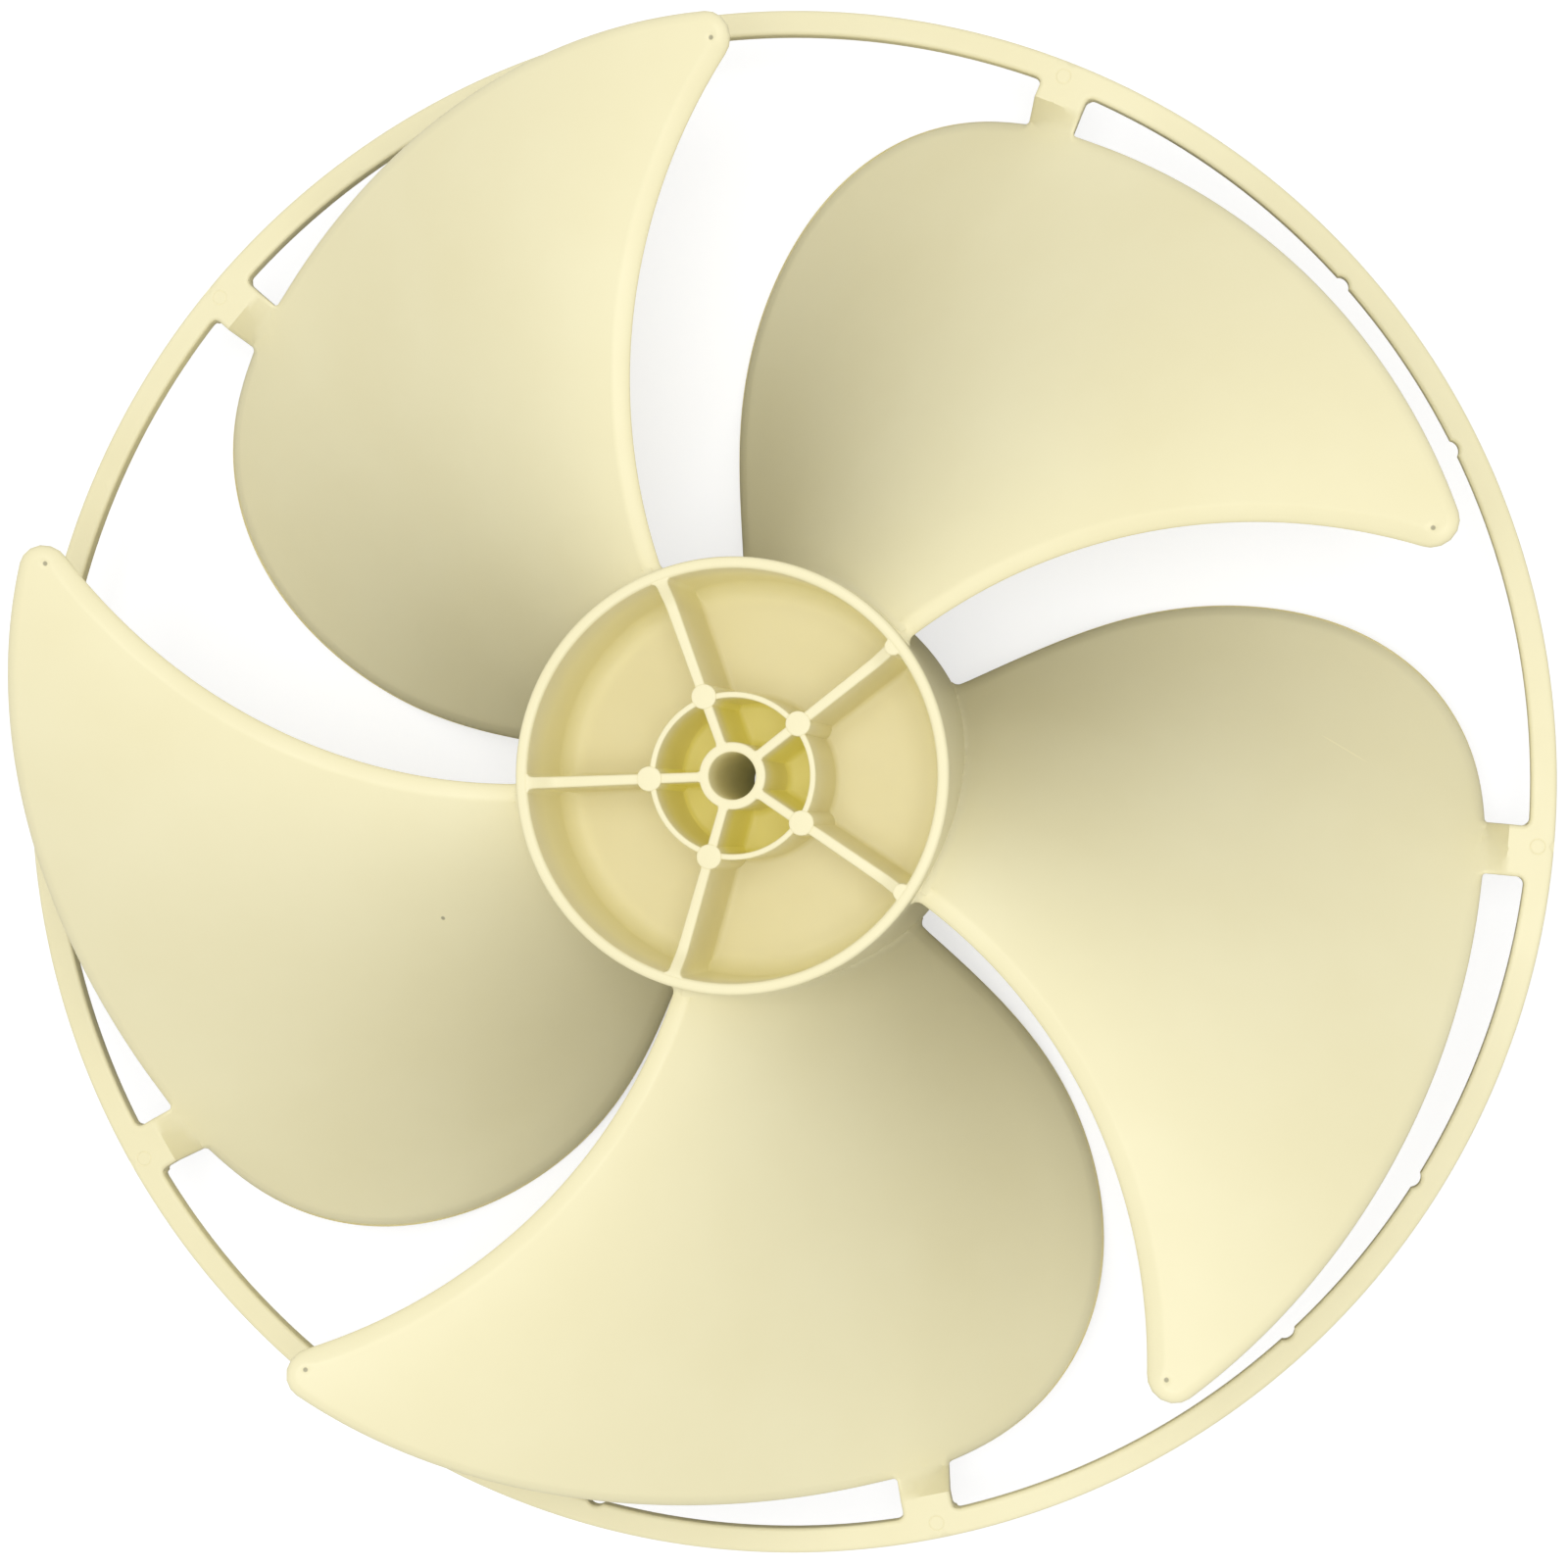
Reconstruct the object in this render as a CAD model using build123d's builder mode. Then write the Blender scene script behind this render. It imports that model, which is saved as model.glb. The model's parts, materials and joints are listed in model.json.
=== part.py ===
from build123d import *

import os
from math import acos, atan2, cos, degrees, hypot, radians, sin

# One-piece moulded fan wheel with a slinger ring, as used on the condenser side of an air conditioner.
# The bore axis is Z, the hub's open side faces +Z, and the origin is on the axis at the hub's back face.
# Seen from the open side the wheel turns clockwise. Sizes are in millimetres and angles in degrees.

# Wheel
blade_count = 5
first_rib_angle = 112.0

# Hub cup
hub_radius = 55.0
hub_depth = 79.0
hub_wall = 3.0
floor_height = 37.0
floor_thickness = 3.0
floor_bevel = 4.0
rim_bevel = 0.8

# Spider inside the hub: boss, inner ring, ribs and ejector pads stop at one level below the rim
spider_drop = 3.4
bore_radius = 6.0
boss_radius = 8.5
inner_ring_radius = 21.2
inner_ring_wall = 1.5
rib_thickness = 2.4
pad_radius = 3.2
pad_rise = 0.3

# Slinger ring
ring_radius = 207.6
ring_width = 6.6
ring_thickness = 4.6
ring_height = 16.6
nick_angles = (2.5, -12.5)
nick_radius = 2.9
nick_depth = 1.1

# Tab from each blade to the ring
tab_angle = 28.55
tab_width = 13.4
lug_length = 5.2
lug_fillet = 2.0
tab_overlap = 3.0
tab_inset = 0.3

# Blade outline, seen along the axis
tip_radius = 190.4
leading_start = 52.8
leading_arc = 137.0
tip_corner = 6.5
tip_relief = 1.9
wrap_root = 61.2
wrap_tip = 38.8
wrap_bend = 2.5
trailing_shares = (0.8, 0.45)

# Blade surface: heights of its two edges, and its slope at each edge as a share of the mean slope
leading_root_height = 72.7
leading_tip_height = 97.3
leading_straightness = 0.41
trailing_root_height = 5.6
trailing_low_height = -23.2
trailing_low_radius = 132.5
leading_slope = 0.2
trailing_slope = 0.92
blade_thickness = 3.2
front_edge_bevel = 1.6

# Patch with straight sides, seen along the axis, over which the blade surface is laid out before trimming
patch_inner_radius = 40.0
patch_outer_radius = 255.0
patch_leading_angles = (-20.0, -25.0)
patch_trailing_angles = (95.0, 52.0)
patch_points = 9

spider_height = hub_depth - spider_drop
hub_inner_radius = hub_radius - hub_wall
ring_inner_radius = ring_radius - ring_width
root_radius = hub_radius - hub_wall / 2


def polar(radius, angle):
    """Point in the plane at a radius and an angle."""
    return (radius * cos(radians(angle)), radius * sin(radians(angle)))


def steps(first, last, count):
    """Evenly spaced places from first to last."""
    return [first + (last - first) * (i / (count - 1)) for i in range(count)]


def axis_distance(shape):
    """Distance of a shape's centre from the bore axis."""
    return hypot(shape.center().X, shape.center().Y)


def span_share(radius):
    """0 at the hub and 1 at the blade's outer edge."""
    return (radius - hub_radius) / (tip_radius - hub_radius)


def leading_angle(radius):
    """Angle of the leading edge, an arc that leaves the hub along the rib."""
    centre_distance = hypot(leading_start, leading_arc)
    centre_angle = -degrees(atan2(leading_arc, leading_start))
    turn = acos((radius**2 + leading_start**2) / (2 * radius * centre_distance))
    return centre_angle + degrees(turn)


def trailing_angle(radius):
    """Angle of the trailing edge, which leans forward more and more towards the tip."""
    return wrap_root - (wrap_root - wrap_tip) * max(span_share(radius), 0) ** wrap_bend


def leading_height(radius):
    """Height of the leading edge, which rises towards the tip."""
    share = span_share(radius)
    rise = leading_straightness * share + (1 - leading_straightness) * share**2
    return leading_root_height + (leading_tip_height - leading_root_height) * rise


def trailing_height(radius):
    """Height of the trailing edge, lowest part way along the blade."""
    bend = (trailing_root_height - trailing_low_height) / (trailing_low_radius - hub_radius) ** 2
    return trailing_low_height + bend * (radius - trailing_low_radius) ** 2


def blade_height(radius, angle):
    """Height of the front surface at an angle from the blade's rib."""
    chord_share = (angle - leading_angle(radius)) / (trailing_angle(radius) - leading_angle(radius))
    square = 3 - 2 * leading_slope - trailing_slope
    cube = leading_slope + trailing_slope - 2
    drop = leading_slope * chord_share + square * chord_share**2 + cube * chord_share**3
    return leading_height(radius) - (leading_height(radius) - trailing_height(radius)) * drop


def surface_point(place):
    """Point of the front surface over a place in the plan."""
    radius = hypot(place.X, place.Y)
    return Vector(place.X, place.Y, blade_height(radius, degrees(atan2(place.Y, place.X))))


# One blade, its rib direction along X: a cambered, twisted surface, thickened and trimmed to its outline
patch_sides = []
for inner_angle, outer_angle in (patch_leading_angles, patch_trailing_angles):
    inner_corner = Vector(*polar(patch_inner_radius, inner_angle))
    outer_corner = Vector(*polar(patch_outer_radius, outer_angle))
    patch_sides.append(steps(inner_corner, outer_corner, patch_points))
blade_surface = Face.make_surface_from_array_of_points(
    [
        [surface_point(place) for place in steps(leading, trailing, patch_points)]
        for leading, trailing in zip(*patch_sides)
    ]
)
middle_radius = (root_radius + tip_radius) / 2
leading_root = polar(root_radius, leading_angle(root_radius))
outer_tip_radius = tip_radius - tip_relief
leading_tip = polar(outer_tip_radius, leading_angle(outer_tip_radius))
trailing_tip = polar(tip_radius, tab_angle)
trailing_root = polar(root_radius, wrap_root)
trailing_radii = [hub_radius + share * (tip_radius - hub_radius) for share in trailing_shares]
trim_margin = 4 * blade_thickness
trim_low = trailing_low_height - trim_margin
trim_high = leading_tip_height + trim_margin

with BuildPart() as blade:
    thicken(blade_surface, amount=-blade_thickness, normal_override=(0, 0, 1))
    with BuildSketch(Plane.XY.offset(trim_low)) as outline:
        with BuildLine():
            ThreePointArc(leading_root, polar(middle_radius, leading_angle(middle_radius)), leading_tip)
            TangentArc(trailing_tip, leading_tip, tangent=polar(1, tab_angle - 90))
            Spline(
                trailing_tip,
                *[polar(radius, trailing_angle(radius)) for radius in trailing_radii],
                trailing_root,
                tangents=(polar(1, tab_angle + 90), polar(-1, wrap_root)),
            )
            ThreePointArc(trailing_root, polar(root_radius, wrap_root / 2), leading_root)
        make_face()
        fillet(outline.vertices().sort_by_distance(leading_tip)[0], tip_corner)
    extrude(amount=trim_high - trim_low, mode=Mode.INTERSECT)
    front_face = blade.faces().sort_by(SortBy.AREA)[-2:].sort_by(Axis.Z)[-1]
    chamfer(front_face.edges().filter_by(lambda edge: axis_distance(edge) > hub_radius), front_edge_bevel)

# Tab of that blade: it leaves the blade at the blade's slope and ends level with the ring's lug
tab_start_radius = tip_radius - tab_overlap
tab_end_radius = ring_inner_radius - lug_length
half_turn = degrees(tab_width / 2 / tip_radius)
tab_front_lead = blade_height(tab_start_radius, tab_angle - half_turn)
tab_front_trail = blade_height(tab_start_radius, tab_angle + half_turn)
tab_slope = atan2(tab_front_lead - tab_front_trail, tab_width)
tab_drop = blade_thickness / cos(tab_slope)


def tab_plane(radius):
    """Plane across the tab, with X along the wheel's turn and Y up."""
    return Plane(
        origin=(*polar(radius, tab_angle), 0),
        x_dir=(*polar(1, tab_angle + 90), 0),
        z_dir=(*polar(1, tab_angle), 0),
    )


with BuildPart() as tab:
    with BuildSketch(tab_plane(tab_start_radius)):
        with BuildLine():
            Polyline(
                (-tab_width / 2, tab_front_lead - tab_inset),
                (tab_width / 2, tab_front_trail - tab_inset),
                (tab_width / 2, tab_front_trail - tab_drop + tab_inset),
                (-tab_width / 2, tab_front_lead - tab_drop + tab_inset),
                close=True,
            )
        make_face()
    with BuildSketch(tab_plane(tab_end_radius)):
        with Locations((0, ring_height - ring_thickness / 2)):
            Rectangle(tab_width, ring_thickness)
    loft()

# Slinger ring with a lug for each tab
with BuildPart() as ring:
    with BuildSketch(Plane.XY.offset(ring_height - ring_thickness)) as ring_outline:
        Circle(ring_radius)
        Circle(ring_inner_radius, mode=Mode.SUBTRACT)
        lug_reach = lug_length + ring_width / 2
        with PolarLocations(tab_end_radius + lug_reach / 2, blade_count, first_rib_angle + tab_angle):
            Rectangle(lug_reach, tab_width)
        lug_corners = ring_outline.vertices().filter_by(
            lambda vertex: abs(axis_distance(vertex) - ring_inner_radius) < lug_fillet
        )
        fillet(lug_corners, lug_fillet)
        for nick_angle in nick_angles:
            nick_centre = ring_inner_radius + nick_depth - nick_radius
            with PolarLocations(nick_centre, blade_count, first_rib_angle + nick_angle):
                Circle(nick_radius, mode=Mode.SUBTRACT)
    extrude(amount=ring_thickness)

# Hub: cup, floor, boss and inner ring turned from a half section, then the ribs and pads
with BuildPart() as hub:
    with BuildSketch(Plane.XZ):
        with Locations((root_radius, hub_depth / 2)):
            Rectangle(hub_wall, hub_depth)
        with Locations((hub_inner_radius / 2, floor_height - floor_thickness / 2)):
            Rectangle(hub_inner_radius, floor_thickness)
        with Locations((boss_radius / 2, spider_height / 2)):
            Rectangle(boss_radius, spider_height)
        with Locations((inner_ring_radius - inner_ring_wall / 2, (floor_height + spider_height) / 2)):
            Rectangle(inner_ring_wall, spider_height - floor_height)
    revolve(axis=Axis.Z)
    floor_edges = hub.edges().filter_by_position(Axis.Z, floor_height, floor_height)
    chamfer(floor_edges.sort_by(SortBy.RADIUS)[-1], floor_bevel)
    rim_edges = hub.edges().group_by(Axis.Z)[-1]
    chamfer(rim_edges, rim_bevel)
    floor_middle = floor_height - floor_thickness / 2
    with BuildSketch(Plane.XY.offset(floor_middle)):
        with PolarLocations(root_radius / 2, blade_count, first_rib_angle):
            Rectangle(root_radius, rib_thickness)
    extrude(amount=spider_height - floor_middle)
    with BuildSketch(Plane.XY.offset(spider_drop)):
        with PolarLocations(root_radius / 2, blade_count, first_rib_angle):
            Rectangle(root_radius, rib_thickness)
    extrude(amount=floor_middle - spider_drop)
    with BuildSketch(Plane.XY.offset(floor_middle)):
        for pad_circle in (inner_ring_radius, hub_inner_radius):
            with PolarLocations(pad_circle, blade_count, first_rib_angle):
                Circle(pad_radius)
    extrude(amount=spider_height + pad_rise - floor_middle)

with BuildPart() as fan_wheel:
    add(hub.part)
    add(ring.part)
    with PolarLocations(0, blade_count, first_rib_angle):
        add(blade.part)
        add(tab.part)
    with Locations((0, 0, spider_height)):
        Hole(bore_radius)

os.makedirs("parts", exist_ok=True)
fan_wheel.part.label = "fan_wheel"
export_step(fan_wheel.part, "parts/fan_wheel.step")
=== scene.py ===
# %% [markdown]
# # A moulded fan wheel, dressed for its portrait
# The object is one shot of cream plastic: an open hub with ribs, five swept blades and a thin slinger ring.
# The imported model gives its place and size. This lesson remakes its surface finely, with the soft edges that
# a mould leaves, and then gives it a finish, a pale floor, a light and a camera.

import json
from math import acos, asin, atan2, cos, degrees, hypot, radians, sin, sqrt, tan

import bmesh
import bpy
import numpy as np
from mathutils import Matrix, Vector
from mathutils.geometry import delaunay_2d_cdt
from mathutils.kdtree import KDTree


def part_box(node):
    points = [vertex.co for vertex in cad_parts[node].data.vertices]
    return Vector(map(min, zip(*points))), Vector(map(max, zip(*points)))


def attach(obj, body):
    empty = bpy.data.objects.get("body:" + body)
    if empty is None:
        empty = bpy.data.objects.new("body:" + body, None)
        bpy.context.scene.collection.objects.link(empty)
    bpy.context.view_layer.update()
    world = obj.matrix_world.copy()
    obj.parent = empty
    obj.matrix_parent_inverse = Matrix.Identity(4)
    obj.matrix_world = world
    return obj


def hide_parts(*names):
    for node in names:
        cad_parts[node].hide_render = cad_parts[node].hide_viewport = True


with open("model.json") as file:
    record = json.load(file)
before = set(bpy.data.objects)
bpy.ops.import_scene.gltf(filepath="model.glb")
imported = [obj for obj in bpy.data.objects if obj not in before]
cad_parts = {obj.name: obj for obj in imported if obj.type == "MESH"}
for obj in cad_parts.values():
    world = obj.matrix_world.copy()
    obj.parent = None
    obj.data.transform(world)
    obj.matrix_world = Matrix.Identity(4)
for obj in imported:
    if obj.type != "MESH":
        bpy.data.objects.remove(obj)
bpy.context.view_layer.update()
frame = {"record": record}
MM = 0.001
wheel_low, wheel_high = (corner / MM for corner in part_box("fan_wheel"))
bore_mount = next(mount for mount in frame["record"]["mounts"] if mount["kind"] == "bore")
print("wheel", [round(size, 1) for size in wheel_high - wheel_low], "mm")

# %% [markdown]
# ## The sizes
# All sizes are in millimetres, as on a drawing, and angles are in degrees. The ring's radius, the bore and
# the lowest point come from the frame. The rest are the wheel's own driving sizes, so that the fine surface
# lies on the solid that it stands for.

# %% Sizes of the wheel
blade_count = 5
first_rib_angle = 112.0
pitch = 360 / blade_count
bore_radius = bore_mount["dims"]["r_mm"]
ring_radius = wheel_high.x

hub_radius, hub_depth, hub_wall = 55.0, 79.0, 3.0
hub_inner_radius = hub_radius - hub_wall
root_radius = hub_radius - hub_wall / 2
floor_height, floor_thickness = 37.0, 3.0
spider_drop = 3.4
spider_height = hub_depth - spider_drop
boss_radius = 8.5
inner_ring_radius, inner_ring_wall = 21.2, 1.5
rib_thickness = 2.4
pad_radius, pad_rise = 3.2, 0.3

ring_width, ring_thickness, ring_height = 6.6, 4.6, 16.6
ring_inner_radius = ring_radius - ring_width
nick_angles, nick_radius, nick_depth = (2.5, -12.5), 2.9, 1.1
tab_angle, tab_width, lug_length, lug_fillet = 28.55, 13.4, 5.2, 2.0

tip_radius, tip_relief, tip_corner = 190.4, 1.9, 6.5
leading_start, leading_arc = 52.8, 137.0
wrap_root, wrap_tip, wrap_bend = 61.2, 38.8, 2.5
trailing_shares = (0.8, 0.45)
leading_root_height, leading_tip_height, leading_straightness = 72.7, 97.3, 0.41
trailing_root_height, trailing_low_height, trailing_low_radius = 5.6, -23.2, 132.5
leading_slope, trailing_slope = 0.2, 0.92
blade_thickness = 3.2
print("ring", round(2 * ring_radius, 1), "mm across, bore", 2 * bore_radius, "mm")

# %% [markdown]
# ## The blade as a height over the plan
# Seen along the shaft the blades don't overlap, so each one is a height over a flat drawing. At every radius
# the height runs from the leading edge down to the trailing edge along a smooth S, and both edges have a
# height of their own. A formula does this better than sculpting: it gives the same twist to every blade.

# %% Height of the blade surface
def polar(radius, angle):
    """Point in the plane at a radius and an angle."""
    return Vector((radius * cos(radians(angle)), radius * sin(radians(angle))))


def span_share(radius):
    """0 at the hub and 1 at the blade's outer edge."""
    return (radius - hub_radius) / (tip_radius - hub_radius)


def leading_angle(radius):
    """Angle of the leading edge from the blade's rib."""
    centre_distance = hypot(leading_start, leading_arc)
    turn = acos((radius**2 + leading_start**2) / (2 * radius * centre_distance))
    return degrees(turn - atan2(leading_arc, leading_start))


def trailing_angle(radius):
    """Angle of the trailing edge from the blade's rib."""
    return wrap_root - (wrap_root - wrap_tip) * max(span_share(radius), 0) ** wrap_bend


def blade_height(radius, angle):
    """Height of the blade's front at a radius and an angle from its rib."""
    share = span_share(radius)
    rise = leading_straightness * share + (1 - leading_straightness) * share**2
    leading = leading_root_height + (leading_tip_height - leading_root_height) * rise
    bend = (trailing_root_height - trailing_low_height) / (trailing_low_radius - hub_radius) ** 2
    trailing = trailing_low_height + bend * (radius - trailing_low_radius) ** 2
    chord = (angle - leading_angle(radius)) / (trailing_angle(radius) - leading_angle(radius))
    square = 3 - 2 * leading_slope - trailing_slope
    cube = leading_slope + trailing_slope - 2
    drop = leading_slope * chord + square * chord**2 + cube * chord**3
    return leading - (leading - trailing) * drop


print("blade tip height", round(blade_height(tip_radius, leading_angle(tip_radius)), 1), "mm")

# %% [markdown]
# ## Rounded corners
# A mould has no knife-sharp corners. Two helpers round the corners of a drawn line: one cuts the line back
# from a corner, and one lays an arc into the gap. The arc is a weighted curve on three points, which is a
# true circle when its weight is the sine of half the corner's angle. Another helper says how far a rounded
# edge falls below its face.

# %% Corner helpers
def cut_back(line, distance):
    """Point of a line at a distance from its start, and the points that follow it."""
    walked = 0.0
    for i in range(len(line) - 1):
        step = (line[i + 1] - line[i]).length
        if walked + step > distance:
            return line[i].lerp(line[i + 1], (distance - walked) / step), line[i + 1:]
        walked += step
    return line[-1], []


def arc_points(start, corner, end, half_angle, count):
    """Arc from start to end that rounds a corner."""
    points = []
    for i in range(count + 1):
        s = i / count
        first, middle, last = (1 - s) ** 2, 2 * s * (1 - s) * sin(half_angle), s**2
        points.append((start * first + corner * middle + end * last) / (first + middle + last))
    return points


def rounded_loop(lines, arc_steps=6):
    """Closed loop of lines, each (points, kind, radius of the corner at its end), as (point, kind) pairs."""
    runs = [list(points) for points, kind, radius in lines]
    arcs = [[] for line in lines]
    for i, (points, kind, radius) in enumerate(lines):
        following = (i + 1) % len(lines)
        corner = runs[i].pop()
        if radius:
            backward = [corner] + runs[i][::-1]
            back = cut_back(backward, radius)[0] - corner
            ahead = cut_back(runs[following], radius)[0] - corner
            half_angle = back.angle(ahead) / 2
            start, kept = cut_back(backward, radius / tan(half_angle))
            end, after = cut_back(runs[following], radius / tan(half_angle))
            runs[i] = kept[::-1] + [start]
            runs[following] = [end] + after
            arcs[i] = arc_points(start, corner, end, half_angle, arc_steps)[1:-1]
    loop = []
    for (points, kind, radius), run, arc in zip(lines, runs, arcs):
        loop += [(point, kind) for point in run]
        loop += [(point, "blade" if radius == tip_corner else "tab") for point in arc]
    return loop


def clamped(share):
    """A share kept between 0 and 1."""
    return min(max(share, 0.0), 1.0)


def quarter_round(distance, width, height, crease=0.0):
    """Drop of a rounded edge below its face, at a distance in from the edge; a crease starts it abruptly."""
    share = clamped(distance / width)
    return height * ((1 - crease) * (1 - sqrt(1 - (1 - share) ** 2)) + crease * (1 - share))


print("a 2 mm round falls", round(quarter_round(0.5, 2, 2), 2), "mm half a millimetre from its edge")

# %% [markdown]
# ## The outline of the sheet
# Everything outside the hub is one sheet: the five blades, their tabs and the ring. It has two edges only,
# the ring's outer circle and one long inner edge that runs in and out around every blade. The inner edge is
# drawn for one blade and turned five times. Each stretch has a kind, because a blade's edge is rounder than
# a tab's.

# %% Points along an edge
root_fillet = 2.4
root_shares = (0.05, 0.16, 0.33, 0.6, 1.0)
edge_spacing, root_spacing, root_closeness = 2.4, 0.3, 0.4


def root_flare(radius):
    """How far a blade's faces and edges swell where they meet the hub."""
    least = root_shares[0] * root_fillet
    return quarter_round(max(radius - hub_radius, least), root_fillet, root_fillet)


def thinned(points):
    """Every so many millimetres a point of a dense line, closer together beside the hub."""
    kept = [points[0]]
    for point in points[1:-1]:
        beside_hub = min(point.length - hub_radius, root_fillet + edge_spacing)
        near_hub = max(root_spacing, beside_hub * root_closeness)
        spacing = edge_spacing if beside_hub > root_fillet else near_hub
        if (point - kept[-1]).length >= spacing:
            kept.append(point)
    return kept + [points[-1]]


def clamped_spline(points, start_direction, end_direction, count):
    """Smooth curve through points with given directions at its ends."""
    spots = np.array([tuple(point) for point in points])
    steps = np.linalg.norm(np.diff(spots, axis=0), axis=1)
    knots = np.concatenate([[0], np.cumsum(steps)])
    lengths = []
    for part in (slice(0, 3), slice(-3, None)):
        curve = np.polyfit(knots[part], spots[part], 2)
        at = knots[part][0 if part.start == 0 else -1]
        lengths.append(np.linalg.norm(2 * curve[0] * at + curve[1]))
    system = np.eye(len(spots))
    wanted = np.zeros_like(spots)
    wanted[0] = np.array(start_direction) * lengths[0]
    wanted[-1] = np.array(end_direction) * lengths[1]
    for i in range(1, len(spots) - 1):
        system[i, i - 1:i + 2] = steps[i], 2 * (steps[i - 1] + steps[i]), steps[i - 1]
        before = (spots[i] - spots[i - 1]) / steps[i - 1]
        after = (spots[i + 1] - spots[i]) / steps[i]
        wanted[i] = 3 * (steps[i] * before + steps[i - 1] * after)
    slopes = np.linalg.solve(system, wanted)
    curve = []
    for at in np.linspace(0, knots[-1], count):
        i = min(int(np.searchsorted(knots, at, side="right")) - 1, len(steps) - 1)
        s = (at - knots[i]) / steps[i]
        place = (1 + 2 * s) * (1 - s) ** 2 * spots[i] + s**2 * (3 - 2 * s) * spots[i + 1]
        lean = steps[i] * (s * (1 - s) ** 2 * slopes[i] + s**2 * (s - 1) * slopes[i + 1])
        curve.append(Vector(place + lean))
    return curve


print("points", edge_spacing, "mm apart, and down to", root_spacing, "mm beside the hub")

# %% [markdown]
# Now the sides are drawn one by one. The outer edge and the leading edge are arcs, and the trailing edge is
# a smooth curve through four points, like a spline on a drawing. The ring's inner edge runs from one tab to
# the next.

# %% Edges of one blade
half_tab = tab_width / 2
tab_ray = polar(1, tab_angle)
tab_across = polar(1, tab_angle + 90)
outer_tip = tip_radius - tip_relief
dense_points = 1200
ring_points, nick_points, nick_clearance = 60, 9, 1.3


def outer_edge():
    """The blade's outer edge, from the tab to the tip: an arc that leaves the tab at right angles."""
    trailing_tip = polar(tip_radius, tab_angle)
    leading_tip = polar(outer_tip, leading_angle(outer_tip))
    chord = trailing_tip - leading_tip
    radius = chord.length_squared / (2 * tab_ray.dot(chord))
    centre = trailing_tip - tab_ray * radius
    first = tab_angle - degrees(asin(half_tab / radius))
    spoke = leading_tip - centre
    last = degrees(atan2(spoke.y, spoke.x))
    count = int(radians(first - last) * radius / edge_spacing)
    return [centre + polar(radius, first + (last - first) * i / count) for i in range(count + 1)]


def leading_edge():
    """The leading edge, from the tip to the hub."""
    radii = np.linspace(outer_tip, root_radius, dense_points)
    return thinned([polar(r, leading_angle(r) - degrees(root_flare(r) / r)) for r in radii])


def trailing_edge():
    """The trailing edge, from the hub to the tab's side."""
    radii = [hub_radius + share * (tip_radius - hub_radius) for share in trailing_shares]
    points = [polar(tip_radius, tab_angle)]
    points += [polar(radius, trailing_angle(radius)) for radius in radii]
    points += [polar(root_radius, wrap_root)]
    curve = clamped_spline(points, tab_across, polar(-1, wrap_root), dense_points)
    beyond = [point for point in curve if point.dot(tab_across) > half_tab]
    swollen = []
    for point in beyond:
        swollen.append(point + Vector((-point.y, point.x)).normalized() * root_flare(point.length))
    return thinned(swollen[::-1])


def ring_inner_edge():
    """The ring's inner edge from one tab to the next, with its two shallow nicks."""
    side = degrees(asin(half_tab / ring_inner_radius))
    first, last = tab_angle + side, tab_angle + pitch - side
    nick_half = sqrt(nick_radius**2 - (nick_radius - nick_depth) ** 2)
    angles = list(np.linspace(first, last, ring_points))
    depths = {}
    for nick_angle in nick_angles:
        centre = nick_angle + pitch
        reach = degrees(nick_half / ring_inner_radius)
        angles = [angle for angle in angles if abs(angle - centre) > nick_clearance * reach]
        for across in np.linspace(-nick_half, nick_half, nick_points):
            angle = centre + degrees(across / ring_inner_radius)
            depths[angle] = sqrt(nick_radius**2 - across**2) - nick_radius + nick_depth
    angles = sorted(angles + list(depths))
    return [polar(ring_inner_radius + depths.get(angle, 0), angle) for angle in angles]


tip_line = outer_edge()
leading_line = leading_edge()
trailing_line = trailing_edge()
ring_line = ring_inner_edge()
print("leading edge", len(leading_line), "points, trailing edge", len(trailing_line), "points")

# %% [markdown]
# The lines are put in order, each with its kind and with the radius of the corner at its end. The sides of a
# tab get points where its level end starts, so that the bend runs straight across the tab.

# %% Lines of one blade
inner_corner = 0.9
root_points = 26
tab_start, tab_bend = 1.5, 1.2
tab_end_radius = ring_inner_radius - lug_length
tab_places = (tip_radius + tab_start, tab_end_radius - tab_bend, tab_end_radius, tab_end_radius + tab_bend)


def tab_side(start, end):
    """A tab's side, with points where its level end starts."""
    shares = [(place - start.dot(tab_ray)) / (end - start).dot(tab_ray) for place in tab_places]
    return [start] + [start.lerp(end, share) for share in sorted(shares)] + [end]


last_ring_point = Matrix.Rotation(radians(-pitch), 2) @ ring_line[-1]
root_angles = np.linspace(leading_angle(root_radius), wrap_root, root_points)
blade_lines = [
    (tab_side(last_ring_point, tip_line[0]), "tab", inner_corner),
    (tip_line, "blade", tip_corner),
    (leading_line, "leading", 0),
    ([polar(root_radius, angle) for angle in root_angles], "root", 0),
    (trailing_line, "blade", inner_corner),
    (tab_side(trailing_line[-1], ring_line[0]), "tab", lug_fillet),
    (ring_line, "ring", lug_fillet),
]
print("one blade's edge has", sum(len(points) for points, kind, radius in blade_lines), "points")

# %% [markdown]
# ## Filling the outline
# The flat outline is filled with triangles by a Delaunay triangulation, which keeps them plump. Rows of
# points run beside every edge, close together where the edge is rounded, and a honeycomb of points fills the
# blades. A grid of quads would need special care at the tips and tabs, while loose points follow any
# outline.

# %% Both edges of the sheet
outer_points = 432
inner_lines = []
for number in range(blade_count):
    turn = Matrix.Rotation(radians(first_rib_angle + number * pitch), 2)
    for points, kind, radius in blade_lines:
        inner_lines.append(([turn @ point for point in points], kind, radius))
inner_loop = rounded_loop(inner_lines)
outer_loop = [(polar(ring_radius, -360 * i / outer_points), "ring") for i in range(outer_points)]
print("inner edge", len(inner_loop), "points, outer edge", len(outer_loop), "points")

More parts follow.
